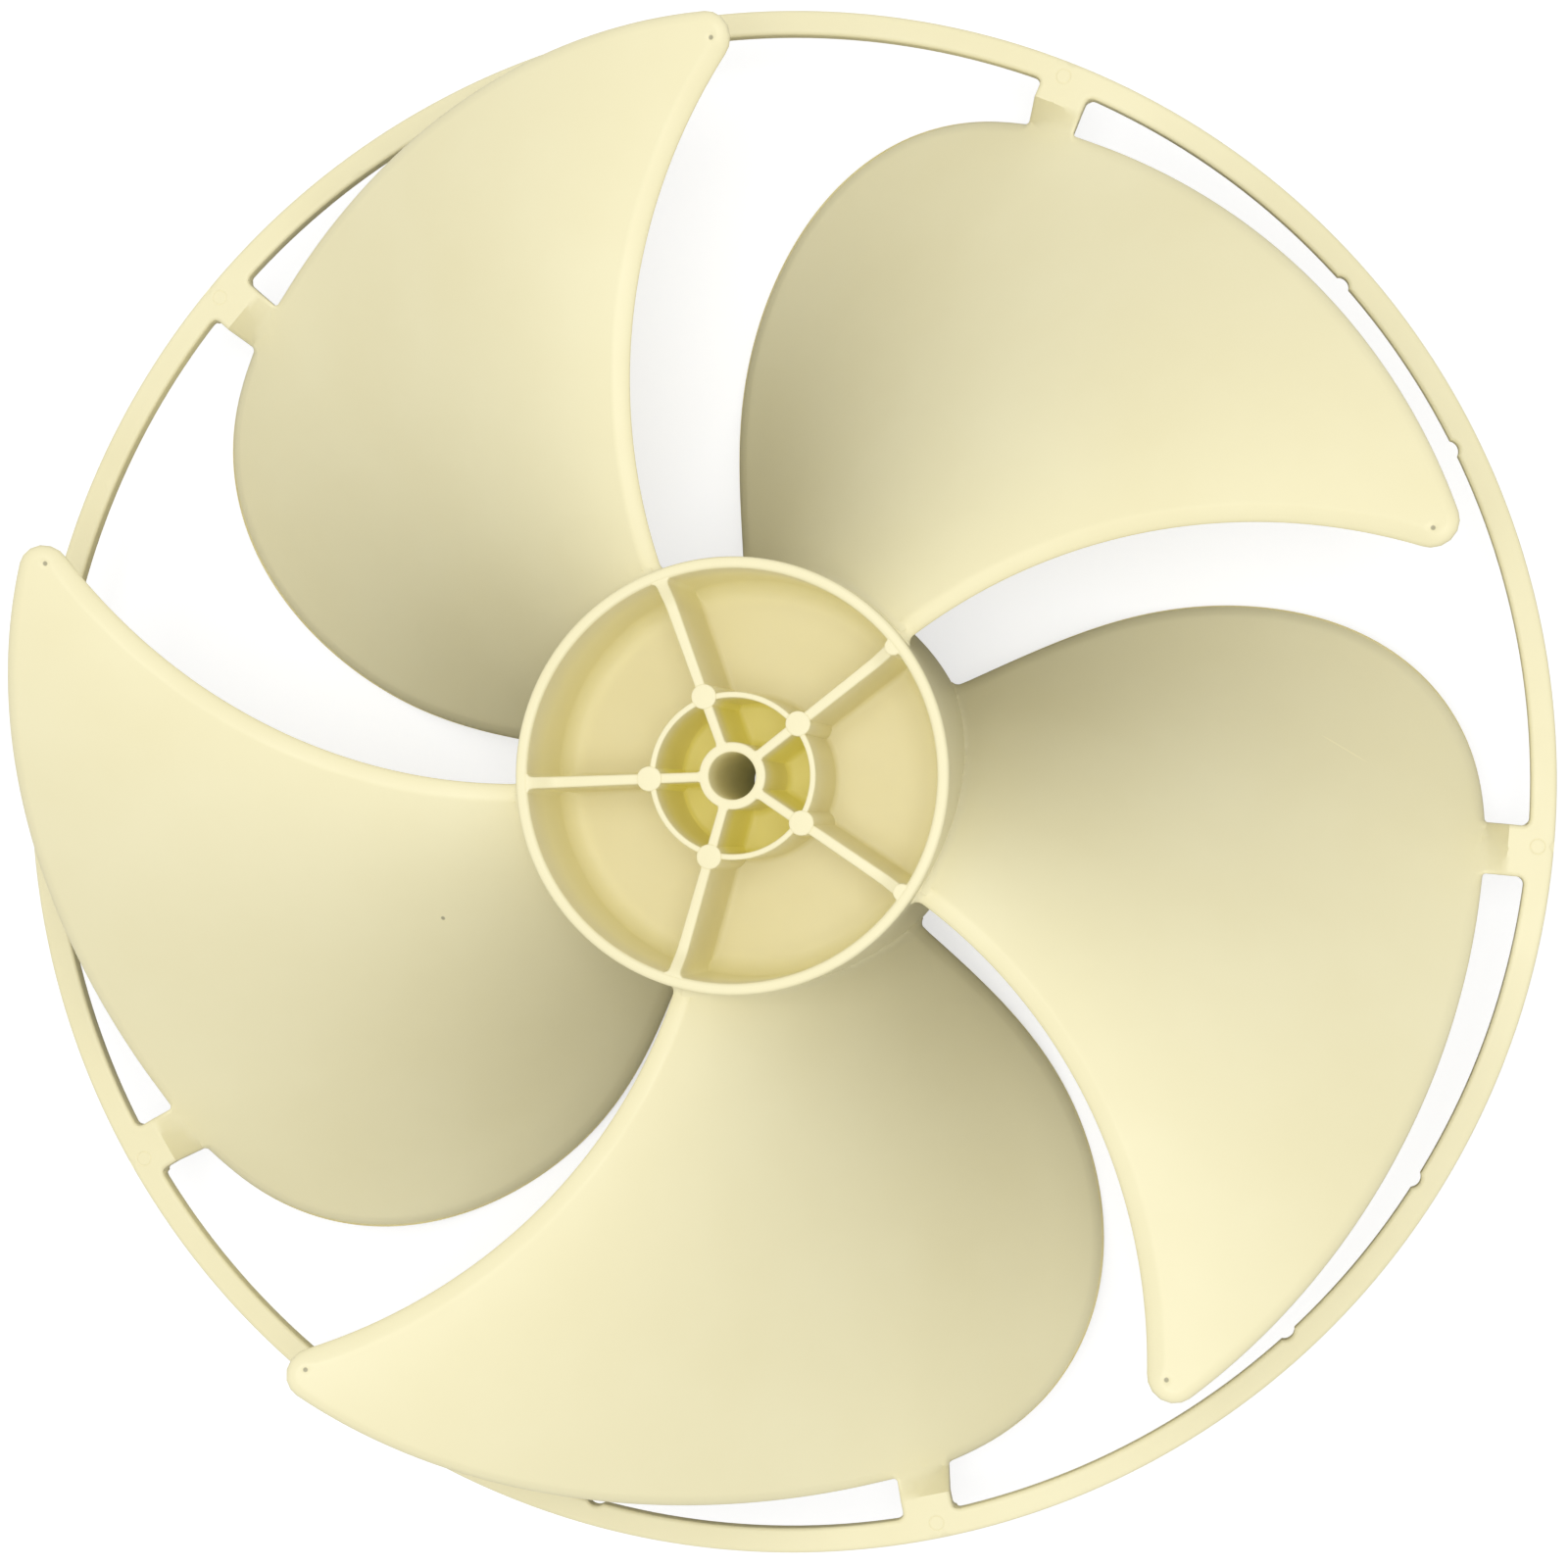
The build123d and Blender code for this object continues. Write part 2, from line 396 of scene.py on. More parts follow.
# %% [markdown]
# The rounding of an edge has a width, a drop and a crease, a share that starts abruptly. They differ from
# kind to kind, so where the kind changes they are spread over a few neighbours, and one round runs smoothly
# into the next.

# %% Rows of points beside the edges
edge_width = {"leading": 4.4, "blade": 3.0, "tab": 1.1, "ring": 1.0, "root": 0.0}
edge_drop = {"leading": 2.3, "blade": 2.1, "tab": 0.9, "ring": 0.8, "root": 0.0}
edge_crease = {"leading": 0.55, "blade": 0.2, "tab": 0.1, "ring": 0.1, "root": 0.0}
easing_passes = 4
row_shares, settling_row = (0.06, 0.22, 0.5, 0.85, 1.0), 0.6
least_width, row_clearance, hub_clearance = 0.4, 0.75, 0.1


def eased(values):
    """Values round a loop with their jumps spread over a few neighbours."""
    values = np.array(values)
    for _ in range(easing_passes):
        values = (np.roll(values, 1) + 2 * values + np.roll(values, -1)) / 4
    return values


class Sheet:
    """Flat points with how far each lies from an edge, and that edge's rounding."""

    def __init__(self):
        self.points, self.depths, self.edges = [], [], []
        self.widths, self.drops, self.creases = [], [], []

    def add(self, point, depth, width, drop=0.0, crease=0.0):
        self.points.append(point)
        self.depths.append(depth)
        self.widths.append(width)
        self.drops.append(drop)
        self.creases.append(crease)

    def add_loop(self, loop):
        """Adds the points of a closed edge, which has the plastic on its right."""
        widths = eased([edge_width[kind] for point, kind in loop])
        drops = eased([edge_drop[kind] for point, kind in loop])
        creases = eased([edge_crease[kind] for point, kind in loop])
        first = len(self.points)
        for (point, kind), width, drop, crease in zip(loop, widths, drops, creases):
            self.add(point, 0.0, width, drop, crease)
        count = len(loop)
        self.edges += [(first + i, first + (i + 1) % count) for i in range(count)]

    def add_rows(self, edge_tree):
        """Adds rows of points beside every edge, leaving out those that would cross another row."""
        previous = {there: here for here, there in self.edges}
        for here, there in self.edges:
            ahead = self.points[there] - self.points[here]
            behind = self.points[here] - self.points[previous[here]]
            along = ahead.normalized() + behind.normalized()
            inward = Vector((along.y, -along.x)).normalized()
            width = self.widths[here]
            if width < least_width:
                continue
            for depth in [share * width for share in row_shares] + [width + settling_row]:
                point = self.points[here] + inward * depth
                nearest = edge_tree.find(point.to_3d())[2]
                if nearest > row_clearance * depth and point.length > hub_radius + hub_clearance:
                    self.add(point, min(depth, nearest), width, self.drops[here], self.creases[here])


sheet = Sheet()
sheet.add_loop(inner_loop)
sheet.add_loop(outer_loop)
edge_tree = KDTree(len(sheet.points))
for index, point in enumerate(sheet.points):
    edge_tree.insert(point.to_3d(), index)
edge_tree.balance()
edge_total = len(sheet.points)
sheet.add_rows(edge_tree)
print("edges", edge_total, "points, rows", len(sheet.points) - edge_total)

# %% [markdown]
# ## Points inside the sheet
# The mould's ejector pins leave a small ring beside each tab, and near each blade tip there is a small burnt
# fleck. They are shallow, but they are real dents, so they are made in the surface and not only painted on.
# Two helpers turn a place to every blade and say where the plastic is.

# %% Places of the marks, and a test for the plastic
mark_radius, mark_angle = 203.4, 29.0
pin_ring_radius, pin_ring_width, pin_ring_depth = 1.95, 0.2, 0.14
fleck_radius, fleck_angle, fleck_size, fleck_depth = 181.8, -19.2, 1.3, 0.35


def turned_points(radius, angle):
    """The same place on every blade."""
    return [polar(radius, first_rib_angle + number * pitch + angle) for number in range(blade_count)]


pin_marks = turned_points(mark_radius, mark_angle)
flecks = turned_points(fleck_radius, fleck_angle)
edge_spots = np.array([tuple(point) for point, kind in inner_loop])


def in_hole(spots):
    """Whether flat points lie inside the sheet's inner edge, by counting the edges that a ray crosses."""
    crossings = np.zeros(len(spots), int)
    ends = np.roll(edge_spots, -1, axis=0)
    for (ax, ay), (bx, by) in zip(edge_spots, ends):
        if ay != by:
            spans = (spots[:, 1] > min(ay, by)) & (spots[:, 1] <= max(ay, by))
            crossings += spans & (ax + (spots[:, 1] - ay) * (bx - ax) / (by - ay) > spots[:, 0])
    return crossings % 2 == 1


def add_inside(points, clearance):
    """Adds flat points that lie in the plastic and clear of its edges."""
    holed = in_hole(np.array([tuple(point) for point in points]))
    for point, hole in zip(points, holed):
        _, index, distance = edge_tree.find(point.to_3d())
        width = sheet.widths[index]
        if not hole and distance > clearance + width + settling_row:
            sheet.add(point, distance, width)


print(len(pin_marks), "pin marks and", len(flecks), "flecks")

# %% [markdown]
# A honeycomb fills the blades. Closer rows follow the swelling at the hub and the bend of each tab, and
# rosettes surround the marks.

# %% Honeycomb, root rows, tab rows and rosettes
honeycomb, row_closeness, mark_clearance = 4.4, sqrt(0.75), 3.2
root_clearance = 0.5
tab_row_start, tab_row_inset, tab_row_points, tab_clearance = 1, 2.2, 6, 0.6
fleck_rosette = (0.01, 0.45, 0.85, fleck_size, 2.0), 9
pin_rosette = (0.01, 1.0, 1.55, 1.75, pin_ring_radius, 2.15, 2.35, 2.7), 16
rosette_middle, rosette_clearance = 0.1, 0.2

rows = int(ring_radius / (honeycomb * row_closeness))
comb = []
for row in range(-rows, rows + 1):
    for column in range(-rows, rows + 1):
        point = Vector(((column + row % 2 / 2) * honeycomb, row * honeycomb * row_closeness))
        clear_of_marks = min((point - mark).length for mark in pin_marks + flecks) > mark_clearance
        if hub_radius + root_fillet + honeycomb / 2 < point.length < ring_radius and clear_of_marks:
            comb.append(point)
add_inside(comb, honeycomb / 3)

root_rows = []
for share in root_shares:
    radius = hub_radius + share * root_fillet
    for angle in np.arange(leading_angle(radius), wrap_root, degrees(edge_spacing / radius)):
        root_rows += turned_points(radius, angle)
add_inside(root_rows, root_clearance)

tab_rows = []
for along in (tip_radius - tab_row_start, *tab_places):
    for across in np.linspace(-half_tab + tab_row_inset, half_tab - tab_row_inset, tab_row_points):
        radius = hypot(along, across)
        tab_rows += turned_points(radius, tab_angle + degrees(atan2(across, along)))
add_inside(tab_rows, tab_clearance)

for marks, (radii, spokes) in ((flecks, fleck_rosette), (pin_marks, pin_rosette)):
    for mark in marks:
        rosette = []
        for radius in radii:
            count = spokes if radius > rosette_middle else 1
            rosette += [mark + polar(radius, 360 * i / spokes) for i in range(count)]
        add_inside(rosette, rosette_clearance)
print("sheet", len(sheet.points), "points")

# %% [markdown]
# ## Lifting the sheet
# Each flat triangle now gets a front and a back. The front is the height formula less the edge's rounding,
# the back lies one wall thickness below, and a tab eases from the blade's slope to the level ring. Towards
# its trailing edge a blade grows thinner.

# %% Heights of the front and the back
back_edge = 0.8
tab_reach = 4.0
ring_overlap = 0.5
slope_step = 0.5
thinning_start, thinning = 0.72, 2.0


def relative_place(point):
    """Radius of a point and its angle from the rib of the blade that it belongs to."""
    radius = point.length
    first = leading_angle(radius)
    margin = (pitch - trailing_angle(radius) + first) / 2
    angle = degrees(atan2(point.y, point.x)) - first_rib_angle
    return radius, (angle - first + margin) % pitch + first - margin


def front_height(point):
    """Height of the front before its edges are rounded, and how level it is: 0 on a blade, 1 on the ring."""
    radius, angle = relative_place(point)
    place = polar(radius, angle)
    along, across = place.dot(tab_ray), abs(place.dot(tab_across))
    level = clamped((along - tip_radius) / (tab_end_radius - tip_radius))
    beside = clamped((across - half_tab) / tab_reach)
    level = 1.0 if radius > ring_inner_radius - ring_overlap else level * (1 - beside)
    return blade_height(radius, angle) * (1 - level) + ring_height * level, level


def trailing_thinning(point):
    """How much thinner the blade is towards its trailing edge."""
    radius, angle = relative_place(point)
    chord = (angle - leading_angle(radius)) / (trailing_angle(radius) - leading_angle(radius))
    return thinning * clamped((chord - thinning_start) / (1 - thinning_start)) ** 2


def sheet_faces(point, depth, width, drop, crease):
    """Heights of the front and the back of the sheet over a flat point."""
    height, level = front_height(point)
    here = blade_height(*relative_place(point))
    slopes = []
    for step in (Vector((slope_step, 0)), Vector((0, slope_step))):
        slopes.append((blade_height(*relative_place(point + step)) - here) / slope_step)
    steepness = sqrt(1 + slopes[0] ** 2 + slopes[1] ** 2)
    thickness = blade_thickness * steepness * (1 - level) + ring_thickness * level
    flare = root_flare(point.length)
    front = height + flare - trailing_thinning(point) * (1 - level)
    back = height - thickness - flare
    if depth < width:
        front -= quarter_round(depth, width, drop, crease)
        back += quarter_round(depth, back_edge, min(back_edge, drop))
    for mark in flecks:
        front -= fleck_depth * max(1 - ((point - mark).length / fleck_size) ** 2, 0.0)
    for mark in pin_marks:
        across = ((point - mark).length - pin_ring_radius) / pin_ring_width
        front -= pin_ring_depth * max(1 - across**2, 0.0)
    return front, back


tab_end = polar(tab_end_radius, first_rib_angle + tab_angle)
print("a tab ends", round(front_height(tab_end)[0], 1), "mm up, like the ring")

# %% [markdown]
# The triangles that lie in the plastic are lifted to both heights. A side that belongs to one triangle only
# is an open edge, and a wall is put there from front to back, so the body is a true solid and not a loose
# skin.

# %% Sheet closed into a solid
inside_edges, same_point = 1, 1e-6
filled = delaunay_2d_cdt(sheet.points, sheet.edges, [], inside_edges, same_point)
flat, triangles, sources = filled[0], filled[2], filled[3]
centres = np.array([tuple((flat[a] + flat[b] + flat[c]) / 3) for a, b, c in triangles])
triangles = [triangle for triangle, hole in zip(triangles, in_hole(centres)) if not hole]
fronts, backs = [], []
for point, source in zip(flat, sources):
    at = source[0]
    edge = sheet.widths[at], sheet.drops[at], sheet.creases[at]
    front, back = sheet_faces(point, sheet.depths[at], *edge)
    fronts.append(Vector((point.x, point.y, front)))
    backs.append(Vector((point.x, point.y, back)))
print("sheet", len(triangles), "triangles on each side")


def solid_object(name, points, faces):
    """Closed mesh object in the shared frame, from points in millimetres."""
    mesh = bpy.data.meshes.new(name)
    mesh.from_pydata([point * MM for point in points], [], faces)
    work = bmesh.new()
    work.from_mesh(mesh)
    loose = [vertex for vertex in work.verts if not vertex.link_faces]
    bmesh.ops.delete(work, geom=loose, context="VERTS")
    bmesh.ops.recalc_face_normals(work, faces=work.faces)
    work.to_mesh(mesh)
    work.free()
    piece = bpy.data.objects.new(name, mesh)
    bpy.context.scene.collection.objects.link(piece)
    return piece


offset = len(fronts)
sheet_polygons = [tuple(triangle) for triangle in triangles]
sheet_polygons += [(c + offset, b + offset, a + offset) for a, b, c in triangles]
sides = dict.fromkeys(side for a, b, c in triangles for side in ((a, b), (b, c), (c, a)))
for a, b in sides:
    if (b, a) not in sides:
        sheet_polygons.append((b, a, a + offset, b + offset))
wheel = solid_object("fan_wheel_body", fronts + backs, sheet_polygons)
print("sheet solid", len(wheel.data.polygons), "faces")

# %% [markdown]
# ## The hub
# The hub is a cup with a floor half way up, a boss for the shaft and a thin inner ring, all round about the
# axis, so it is turned from one half section, like a pot on a wheel. Every corner of the section is rounded
# first, and the outer wall is cut into low rows, so that the blades' roots leave no streaks in its shading.

# %% Turned hub
turn_steps = 192
wall_step = 3.0
rim_edge, skirt_edge, boss_edge, inner_ring_edge = 0.9, 0.7, 0.5, 0.4
cup_round, back_round, floor_round, boss_round = 5.0, 2.0, 1.5, 1.8
back_height = floor_height - floor_thickness
inner_ring_hole = inner_ring_radius - inner_ring_wall


def loft(name, rings, closed):
    """Solid through rings of points; closed joins the last ring to the first, else both ends are capped."""
    size = len(rings[0])
    pairs = range(len(rings)) if closed else range(len(rings) - 1)
    faces = []
    for i in pairs:
        here, there = i * size, (i + 1) % len(rings) * size
        for j in range(size):
            k = (j + 1) % size
            faces.append((here + j, here + k, there + k, there + j))
    if not closed:
        faces += [tuple(range(size)), tuple(range((len(rings) - 1) * size, len(rings) * size))]
    return solid_object(name, [point for ring in rings for point in ring], faces)


def rounded_section(corners, arc_steps=5):
    """Closed section from (across, height, corner radius) values."""
    spots = [Vector((across, height)) for across, height, radius in corners]
    lines = []
    for i, (across, height, radius) in enumerate(corners):
        lines.append(([spots[i - 1], spots[i]], "section", radius))
    return [point for point, kind in rounded_loop(lines, arc_steps)]


wall_rows = [(hub_radius, height, 0) for height in np.arange(wall_step, hub_depth - wall_step, wall_step)]
hub_section = rounded_section([
    (bore_radius, 0, boss_edge),
    (boss_radius, 0, boss_edge),
    (boss_radius, back_height, floor_round),
    (hub_inner_radius, back_height, back_round),
    (hub_inner_radius, 0, skirt_edge),
    (hub_radius, 0, rim_edge),
    *wall_rows,
    (hub_radius, hub_depth, rim_edge),
    (hub_inner_radius, hub_depth, rim_edge),
    (hub_inner_radius, floor_height, cup_round),
    (inner_ring_radius, floor_height, floor_round),
    (inner_ring_radius, spider_height, inner_ring_edge),
    (inner_ring_hole, spider_height, inner_ring_edge),
    (inner_ring_hole, floor_height, floor_round),
    (boss_radius, floor_height, boss_round),
    (boss_radius, spider_height, boss_edge),
    (bore_radius, spider_height, boss_edge),
])
hub_rings = []
for i in range(turn_steps):
    ray = polar(1, 360 * i / turn_steps)
    hub_rings.append([Vector((ray.x * spot.x, ray.y * spot.x, spot.y)) for spot in hub_section])
hub = loft("hub", hub_rings, closed=True)
print("hub", len(hub.data.polygons), "faces")

# %% [markdown]
# ## Ribs and pads
# Five ribs tie the boss to the hub wall in front of the floor and behind it. They lean a little, so that
# they leave the mould, grow thicker outwards, swell where they meet the walls and the floor, and climb to
# the rim at their outer end. A round pad stands where a rib crosses the inner ring, for the pins that push
# the wheel out of the mould. Two more of these pads show at the rim.

# %% Ribs and pads
rib_draft, rib_round, rib_foot, rib_embed, rib_growth = 0.35, 0.5, 1.4, 1.2, 0.3
boss_flare = 0.5
round_steps = 4
draft_shares = (0.25, 0.6, 1.0)
foot_shares = (0.05, 0.2, 0.5, 1)
climb_length, climb_drop, climb_shares = 7.0, 0.2, (1.3, 1, 0.8, 0.6, 0.4)
pad_edge, pad_foot, pad_points = 0.5, 0.3, 36
pad_rows = ((1, 0), (0.3, 0.15), (0.05, 0.5), (0, 1))
rim_pad_radius, rim_pads = 2.2, (3, 4)


def rib_section(radius, foot, top):
    """Section across a rib, from its foot in the floor to its rounded top, as (across, height) points."""
    near_wall = quarter_round(hub_inner_radius - radius, rib_foot, rib_foot)
    near_boss = quarter_round(radius - boss_radius, boss_flare, boss_flare)
    swell = max(near_wall, near_boss)
    up = 1 if top > foot else -1
    half = []
    for i in range(round_steps + 1):
        angle = radians(90 * i / round_steps)
        across = rib_thickness / 2 - rib_round * (1 - sin(angle))
        half.append((across, top - up * rib_round * (1 - cos(angle))))
    for share in draft_shares:
        height = top - up * (rib_round + share * (abs(top - foot) - rib_round - rib_foot))
        half.append((rib_thickness / 2 + rib_draft * share, height))
    for i in range(1, round_steps + 1):
        angle = radians(90 * i / round_steps)
        reach = rib_thickness / 2 + rib_draft + rib_foot * (1 - cos(angle))
        half.append((reach, foot + up * rib_foot * (1 - sin(angle))))
    half.append((rib_thickness / 2 + rib_draft + rib_foot, foot - up * rib_embed))
    growth = rib_growth * (radius - boss_radius) / (hub_inner_radius - boss_radius)
    half = [(across + swell + growth, height) for across, height in half]
    return half + [(-across, height) for across, height in reversed(half)]


def rib(name, angle, foot, top, climb):
    """Rib along a ray, from inside the boss to inside the hub wall, to which its top climbs."""
    boss_side = [boss_radius - rib_embed] + [boss_radius + share * rib_foot for share in foot_shares]
    climb_side = [hub_inner_radius - share * climb_length for share in climb_shares]
    wall_side = [hub_inner_radius - share * rib_foot for share in reversed(foot_shares)]
    ray, side = polar(1, angle), polar(1, angle + 90)
    rings = []
    for radius in boss_side + climb_side + wall_side + [hub_inner_radius + rib_embed]:
        ring = []
        climbed = clamped(1 - (hub_inner_radius - radius) / climb_length)
        climbed = climb * climbed**2 * (3 - 2 * climbed)
        for across, height in rib_section(radius, foot, top + climbed):
            place = ray * radius + side * across
            ring.append(Vector((place.x, place.y, height)))
        rings.append(ring)
    return loft(name, rings, closed=False)


def pad(name, radius, angle, size, top):
    """Round column from the floor to a top with a soft edge."""
    centre = polar(radius, angle)
    levels = [(floor_height - rib_embed, size + pad_foot)]
    levels += [(top - down * pad_edge, size - inward * pad_edge) for down, inward in pad_rows]
    rings = []
    for height, reach in levels:
        spots = [centre + polar(reach, 360 * i / pad_points) for i in range(pad_points)]
        rings.append([Vector((spot.x, spot.y, height)) for spot in spots])
    return loft(name, rings, closed=False)


hub_pieces = []
for number in range(blade_count):
    angle = first_rib_angle + number * pitch
    climb = spider_drop - climb_drop
    hub_pieces.append(rib(f"front_rib_{number}", angle, floor_height, spider_height, climb))
    hub_pieces.append(rib(f"back_rib_{number}", angle, back_height, spider_drop, 0))
    top = spider_height + pad_rise
    hub_pieces.append(pad(f"inner_pad_{number}", inner_ring_radius, angle, pad_radius, top))
    if number in rim_pads:
        top = hub_depth - climb_drop
        hub_pieces.append(pad(f"rim_pad_{number}", hub_inner_radius, angle, rim_pad_radius, top))
print("ribs and pads", len(hub_pieces))

# %% [markdown]
# ## One shot of plastic
# The real wheel has no joins, so the pieces are fused with Boolean unions. The Manifold solver is quick and
# keeps a closed body closed. The fused mesh is written into the object, with no modifier left on it, and
# shaded smooth except at its few sharp corners.

# %% Fuse everything into one body
smooth_limit = 38.0
weld_distance = 0.002


def fuse(base, others):
    """Joins closed pieces into the base piece and deletes them."""
    for other in others:
        union = base.modifiers.new("union", "BOOLEAN")
        union.operation = "UNION"
        union.solver = "MANIFOLD"
        union.object = other
    bpy.context.view_layer.update()
    evaluated = base.evaluated_get(bpy.context.evaluated_depsgraph_get())
    fused = bpy.data.meshes.new_from_object(evaluated)
    base.modifiers.clear()
    base.data = fused
    for other in others:
        bpy.data.objects.remove(other)


fuse(hub, hub_pieces)
print("hub with ribs", len(hub.data.polygons), "faces")
fuse(wheel, [hub])
work = bmesh.new()
work.from_mesh(wheel.data)
bmesh.ops.remove_doubles(work, verts=work.verts, dist=weld_distance * MM)
bmesh.ops.dissolve_degenerate(work, edges=work.edges, dist=weld_distance * MM)
open_edges = sum(1 for edge in work.edges if len(edge.link_faces) != 2)
work.to_mesh(wheel.data)
work.free()
wheel.data.name = wheel.name
wheel.data.shade_smooth()
wheel.data.set_sharp_from_angle(angle=radians(smooth_limit))
print("wheel", len(wheel.data.polygons), "faces, open edges", open_edges)

# %% [markdown]
# ## Cream plastic
# The plastic is a pale cream with a satin mould finish. Its colour drifts a little where the melt flowed,
# its gloss varies in soft patches, and a very fine grain breaks up the reflections. All of it comes from
# noise in object space, so it needs no unwrapping and no picture. Short helpers make each node with its
# links, which keeps the recipe readable.

# %% Node helpers
def node(tree, kind, inputs, **settings):
    """New node with its settings, each input linked to a socket or set to a value."""
    made = tree.nodes.new(kind)
    for name, value in settings.items():
        setattr(made, name, value)
    for name, value in inputs.items():
        if isinstance(value, bpy.types.NodeSocket):
            tree.links.new(value, made.inputs[name])
        else:
            made.inputs[name].default_value = value
    return made


def mapped(tree, value, start, end, low=0.0, high=1.0):
    """Socket that runs from low to high while a value runs from start to end."""
    inputs = {"Value": value, "From Min": start, "From Max": end, "To Min": low, "To Max": high}
    return node(tree, "ShaderNodeMapRange", inputs).outputs["Result"]


def combined(tree, operation, first, second):
    """Socket with the result of an operation on two sockets or values."""
    return node(tree, "ShaderNodeMath", {0: first, 1: second}, operation=operation).outputs["Value"]


def two_colours(tree, share, first, second, stops=(0.0, 1.0)):
    """Socket that runs from one colour to another while a share runs from stop to stop."""
    blend = node(tree, "ShaderNodeValToRGB", {"Fac": share})
    for element, colour, stop in zip(blend.color_ramp.elements, (first, second), stops):
        element.position, element.color = stop, (*colour, 1)
    return blend.outputs["Color"]


print("helpers for nodes ready")

# %% [markdown]
# Small marks make it one particular wheel: a burnt fleck where the gas left the mould at each blade tip, a
# speck of dirt and a short pale scratch. Each is a distance from a place in the plan, turned into a mask,
# which is 1 on the mark and 0 elsewhere.

# %% Masks of the marks
speck_place, speck_size, stain_size = Vector((-79.8, -39.7)), 0.5, 0.6
scratch_start, scratch_end, scratch_width = Vector((147.8, 16.5)), Vector((157.8, 10.8)), 0.22
spot_fade, scratch_fade = (1.2, 0.7), (1.3, 0.7)


def faded(tree, distance, reach, fade):
    """1 within a reach and 0 beyond it, running between two shares of the reach."""
    outside, inside = (share * reach * MM for share in fade)
    return mapped(tree, distance, outside, inside)


def stain_mask(tree, plan):
    """1 on the speck and on the burnt flecks."""
    stain = 0.0
    for centre, reach in [(speck_place, speck_size)] + [(fleck, stain_size) for fleck in flecks]:
        inputs = {0: plan, 1: (centre.x * MM, centre.y * MM, 0)}
        distance = node(tree, "ShaderNodeVectorMath", inputs, operation="DISTANCE").outputs["Value"]
        stain = combined(tree, "MAXIMUM", stain, faded(tree, distance, reach, spot_fade))
    return stain


def scratch_mask(tree, plan):
    """1 along the scratch."""
    line = scratch_end - scratch_start
    middle = (scratch_start + scratch_end) / 2
    along = line.normalized()
    masks = []
    for axis, reach in ((along, line.length / 2), (along.orthogonal(), scratch_width / 2)):
        inputs = {0: plan, 1: (*axis, 0)}
        offset = node(tree, "ShaderNodeVectorMath", inputs, operation="DOT_PRODUCT").outputs["Value"]
        distance = combined(tree, "ABSOLUTE", combined(tree, "SUBTRACT", offset, middle.dot(axis) * MM), 0)
        masks.append(faded(tree, distance, reach, scratch_fade))
    return combined(tree, "MULTIPLY", *masks)


print("masks for", len(flecks), "flecks, a speck and a scratch")

# %% [markdown]
# The thin walls of the hub let light soak through, and the pocket around the boss looks a deeper yellow.
# A faint warm emission is painted light that stands for the light soaking through, because following it
# through the walls would take far longer to render. The pocket's deeper yellow is painted shade in its base
# colour. Three masks say where they show: in the pocket, along the hub's wall and in the bore.

# %% Masks of the glow
pocket_middle = (inner_ring_hole + boss_radius) / 2
pocket_half = pocket_middle - boss_radius
pocket_outside, pocket_inside = pocket_half + 0.4, pocket_half - 0.3
wall_start, wall_full, wall_end = hub_inner_radius - 7, hub_inner_radius - 0.5, hub_radius - 1
glow_top, glow_full = spider_height - 1, spider_height - 14
bore_edge = bore_radius + 0.3


def glow_masks(tree, radius, height):
    """Masks of the pocket, the hub's inner wall and the bore."""
    below = mapped(tree, height, glow_top * MM, glow_full * MM)
    above = mapped(tree, height, back_height * MM, floor_height * MM)
    deep_inside = combined(tree, "MULTIPLY", below, above)
    from_middle = combined(tree, "ABSOLUTE", combined(tree, "SUBTRACT", radius, pocket_middle * MM), 0)
    pocket = mapped(tree, from_middle, pocket_outside * MM, pocket_inside * MM)
    wall = mapped(tree, radius, wall_start * MM, wall_full * MM)
    wall = combined(tree, "MULTIPLY", wall, combined(tree, "LESS_THAN", radius, wall_end * MM))
    bore = combined(tree, "LESS_THAN", radius, bore_edge * MM)
    pocket, wall = (combined(tree, "MULTIPLY", mask, deep_inside) for mask in (pocket, wall))
    return pocket, wall, bore


print("glow from", back_height, "to", round(glow_top, 1), "mm up")

# %% [markdown]
# Everything meets in one material: the colour with its marks, the glow, the patches of gloss and the grain.

# %% Material of the wheel
deep_cream, pale_cream, drift_stops = (0.835, 0.768, 0.478), (0.87, 0.81, 0.528), (0.3, 0.72)
stain_darkness, scratch_paleness, scratch_roughness = 0.55, 0.12, 0.3
gloss_patches, smoothest, roughest = (0.25, 0.75), 0.42, 0.54
# The pocket's tint is painted shade; its light and the wall's and the bore's glows are painted light.
pocket_painted_shade, pocket_light, pocket_glow = (0.94, 0.93, 0.66), (0.96, 0.86, 0.12), 0.11
wall_light, wall_glow = (0.93, 0.9, 0.4), 0.075
bore_glow = 0.03


def marked_cream(tree, place, plan, scratch):
    """Socket with the drifting cream, darker on the stains and paler on the scratch."""
    inputs = {"Vector": place, "Scale": 14.0, "Detail": 4.0, "Roughness": 0.55}
    drift = node(tree, "ShaderNodeTexNoise", inputs).outputs["Fac"]
    cream = two_colours(tree, drift, deep_cream, pale_cream, drift_stops)
    stain = combined(tree, "MULTIPLY", stain_mask(tree, plan), stain_darkness)
    shade = combined(tree, "SUBTRACT", 1.0, stain)
    shade = combined(tree, "ADD", shade, combined(tree, "MULTIPLY", scratch, scratch_paleness))
    return node(tree, "ShaderNodeVectorMath", {0: cream, "Scale": shade}, operation="SCALE").outputs["Vector"]


